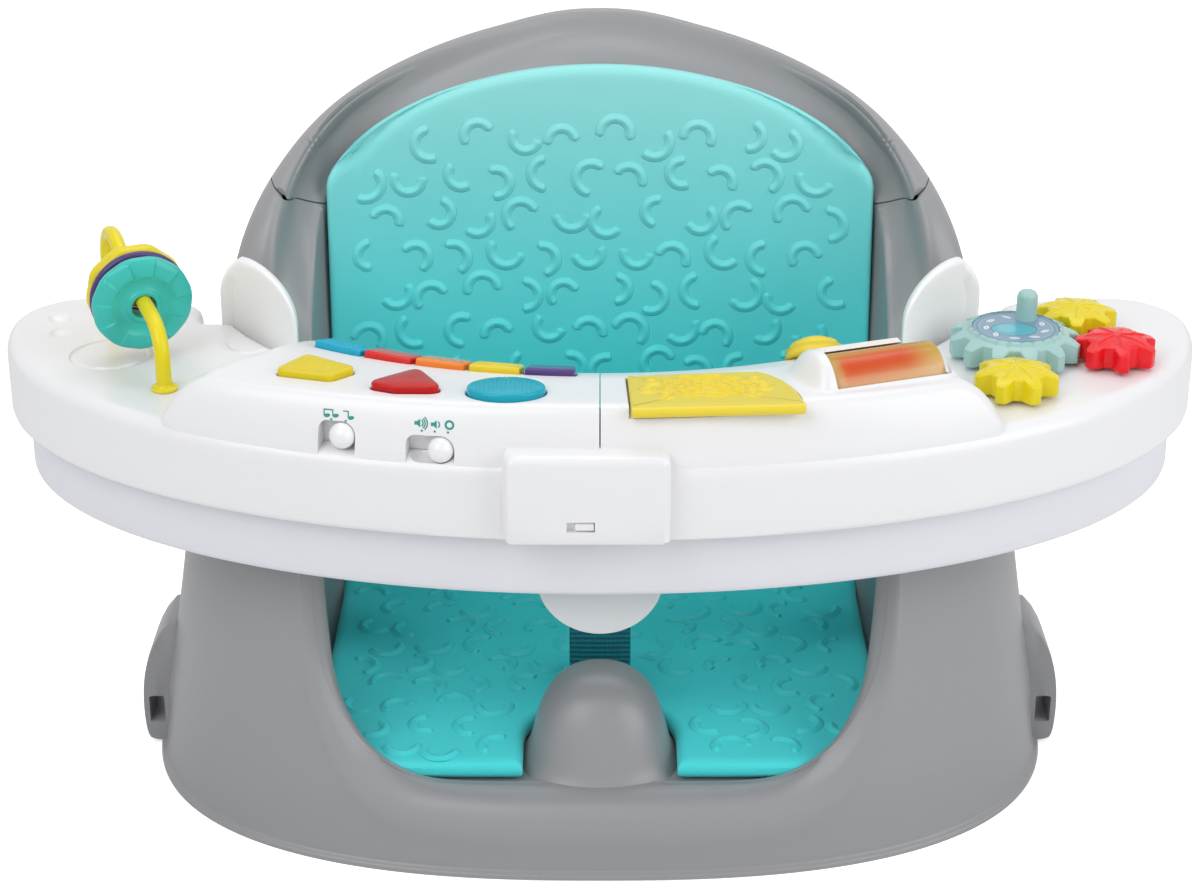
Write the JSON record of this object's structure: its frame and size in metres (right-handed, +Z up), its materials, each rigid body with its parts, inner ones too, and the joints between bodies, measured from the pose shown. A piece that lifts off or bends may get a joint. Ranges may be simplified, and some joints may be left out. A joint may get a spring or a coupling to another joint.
{
  "type": "baby floor seat",
  "caption": "Moulded floor seat for a baby with foam liner, harness, lift-off feeding tray and toy tray with keys, gears, roller, flap and bead wire.",
  "frame": {"origin": "on the floor, at the middle of the whole seat in plan", "axes": "+X across the seat along the trays, +Y to the back of the seat, +Z up"},
  "size_m": [0.524, 0.3, 0.311],
  "materials": {
    "shell_grey": "satin",
    "liner_foam": "soft matte foam",
    "white": "gloss",
    "webbing": "ribbed webbing",
    "black": "satin",
    "rubber": "matte",
    "steel": "brushed",
    "yellow": "gloss",
    "red": "gloss",
    "orange": "gloss",
    "purple": "gloss",
    "blue": "gloss",
    "turquoise": "gloss",
    "teal": "gloss",
    "sage": "satin",
    "label": "printed",
    "amber": "translucent gloss",
    "board": "satin"
  },
  "bodies": {
    "seat": {"seat_base": "shell_grey", "upper_back": "shell_grey", "seat_liner": "liner_foam", "rubber_feet": "rubber", "crotch_strap": "webbing", "waist_strap_left": "webbing", "waist_strap_right": "webbing", "harness_buckle": "black", "buckle_tongues": "black", "strap_anchors": "black"},
    "feeding_tray": {"feeding_tray": "white", "tray_ear_left": "white", "tray_ear_right": "white", "release_pin": "steel", "release_spring": "steel"},
    "release_lever": {"release_lever": "white"},
    "toy_tray": {"toy_tray_shell": "white", "toy_tray_floor": "white", "music_console": "white", "activity_console": "white", "front_clip": "white", "cover_screws": "steel", "bead_wire": "yellow", "gear_posts": "white", "roller_axle": "steel", "flap_pin": "steel", "key_springs": "rubber", "circuit_board": "board", "speaker": "black", "batteries": "steel", "battery_door": "white", "battery_door_screw": "steel"},
    "ring_yellow": {"bead_ring_yellow": "yellow"},
    "ring_purple": {"bead_ring_purple": "purple"},
    "ring_turquoise": {"bead_ring_turquoise": "turquoise"},
    "big_gear": {"big_gear": "sage", "gear_label": "label"},
    "gear_front": {"gear_front": "yellow"},
    "gear_right": {"gear_right": "red"},
    "gear_back": {"gear_back": "yellow"},
    "roller": {"roller": "amber", "roller_beads": "red"},
    "flap": {"flap_door": "yellow"},
    "click_knob": {"click_knob": "yellow"},
    "key_blue": {"key_blue": "blue"},
    "key_red": {"key_red": "red"},
    "key_orange": {"key_orange": "orange"},
    "key_yellow": {"key_yellow": "yellow"},
    "key_purple": {"key_purple": "purple"},
    "button_square": {"button_square": "yellow"},
    "button_triangle": {"button_triangle": "red"},
    "button_round": {"button_round": "teal"},
    "note_switch": {"note_switch": "white"},
    "volume_switch": {"volume_switch": "white"}
  },
  "joints": [
    {"name": "tray_lift", "type": "slide", "parent": "seat", "child": "feeding_tray", "axis": [0, 0, 1], "range_m": [0, 0.12]},
    {"name": "toy_tray_lift", "type": "slide", "parent": "feeding_tray", "child": "toy_tray", "axis": [0, 0, 1], "range_m": [0, 0.08]},
    {"name": "release_swing", "type": "hinge", "parent": "feeding_tray", "child": "release_lever", "pos_m": [0, -0.116, 0.1443], "axis": [1, 0, 0], "range_deg": [0, 12], "stiffness_Nm_per_rad": 0.05, "springref_deg": -2.86},
    {"name": "ring_slide", "type": "slide", "parent": "toy_tray", "child": "ring_yellow", "axis": [-0.3869, 0.9115, 0.1392], "range_m": [-0.002, 0.006]},
    {"name": "purple_ring_spin", "type": "hinge", "parent": "ring_yellow", "child": "ring_purple", "pos_m": [-0.19533, -0.03124, 0.22376], "axis": [-0.3869, 0.9115, 0.1392], "continuous": true},
    {"name": "turquoise_ring_spin", "type": "hinge", "parent": "ring_yellow", "child": "ring_turquoise", "pos_m": [-0.19285, -0.03707, 0.22287], "axis": [-0.3869, 0.9115, 0.1392], "continuous": true},
    {"name": "big_gear_spin", "type": "hinge", "parent": "toy_tray", "child": "big_gear", "pos_m": [0.1775, -0.0278, 0.2], "axis": [0, 0, 1], "continuous": true},
    {"name": "gear_front_spin", "type": "hinge", "parent": "toy_tray", "child": "gear_front", "pos_m": [0.17195, -0.06994, 0.2], "axis": [0, 0, 1], "continuous": true},
    {"name": "gear_right_spin", "type": "hinge", "parent": "toy_tray", "child": "gear_right", "pos_m": [0.21939, -0.03496, 0.2], "axis": [0, 0, 1], "continuous": true},
    {"name": "gear_back_spin", "type": "hinge", "parent": "toy_tray", "child": "gear_back", "pos_m": [0.20858, 0.00119, 0.2], "axis": [0, 0, 1], "continuous": true},
    {"name": "roller_spin", "type": "hinge", "parent": "toy_tray", "child": "roller", "pos_m": [0.1135, -0.0914, 0.2094], "axis": [0.9397, 0.342, 0], "continuous": true},
    {"name": "flap_open", "type": "hinge", "parent": "toy_tray", "child": "flap", "pos_m": [0.046, -0.1345, 0.2142], "axis": [0.9982, 0.0593, 0], "range_deg": [0, 100]},
    {"name": "knob_turn", "type": "hinge", "parent": "toy_tray", "child": "click_knob", "pos_m": [0.0893, -0.066, 0.2065], "axis": [-0.0672, 0.6393, 0.766], "continuous": true},
    {"name": "key_blue_press", "type": "slide", "parent": "toy_tray", "child": "key_blue", "axis": [-0.137, -0.2196, -0.9659], "range_m": [0, 0.002], "stiffness_N_per_m": 200, "springref_m": -0.001},
    {"name": "key_red_press", "type": "slide", "parent": "toy_tray", "child": "key_red", "axis": [-0.1098, -0.2344, -0.9659], "range_m": [0, 0.002], "stiffness_N_per_m": 200, "springref_m": -0.001},
    {"name": "key_orange_press", "type": "slide", "parent": "toy_tray", "child": "key_orange", "axis": [-0.0823, -0.2454, -0.9659], "range_m": [0, 0.002], "stiffness_N_per_m": 200, "springref_m": -0.001},
    {"name": "key_yellow_press", "type": "slide", "parent": "toy_tray", "child": "key_yellow", "axis": [-0.054, -0.2531, -0.9659], "range_m": [0, 0.002], "stiffness_N_per_m": 200, "springref_m": -0.001},
    {"name": "key_purple_press", "type": "slide", "parent": "toy_tray", "child": "key_purple", "axis": [-0.0257, -0.2575, -0.9659], "range_m": [0, 0.002], "stiffness_N_per_m": 200, "springref_m": -0.001},
    {"name": "button_square_press", "type": "slide", "parent": "toy_tray", "child": "button_square", "axis": [0, -0.0558, -0.9984], "range_m": [0, 0.002], "stiffness_N_per_m": 200, "springref_m": -0.001},
    {"name": "button_triangle_press", "type": "slide", "parent": "toy_tray", "child": "button_triangle", "axis": [0, -0.0558, -0.9984], "range_m": [0, 0.002], "stiffness_N_per_m": 200, "springref_m": -0.001},
    {"name": "button_round_press", "type": "slide", "parent": "toy_tray", "child": "button_round", "axis": [0, -0.0558, -0.9984], "range_m": [0, 0.002], "stiffness_N_per_m": 200, "springref_m": -0.001},
    {"name": "note_switch_slide", "type": "slide", "parent": "toy_tray", "child": "note_switch", "axis": [0.9703, -0.2419, 0], "range_m": [-0.004, 0]},
    {"name": "volume_switch_slide", "type": "slide", "parent": "toy_tray", "child": "volume_switch", "axis": [0.989, -0.1478, 0], "range_m": [-0.008, 0]}
  ],
  "couplings": [
    {"joint": "gear_front_spin", "follows": "big_gear_spin", "ratio": -1.7143},
    {"joint": "gear_right_spin", "follows": "big_gear_spin", "ratio": -1.7143},
    {"joint": "gear_back_spin", "follows": "big_gear_spin", "ratio": -1.7143}
  ]
}
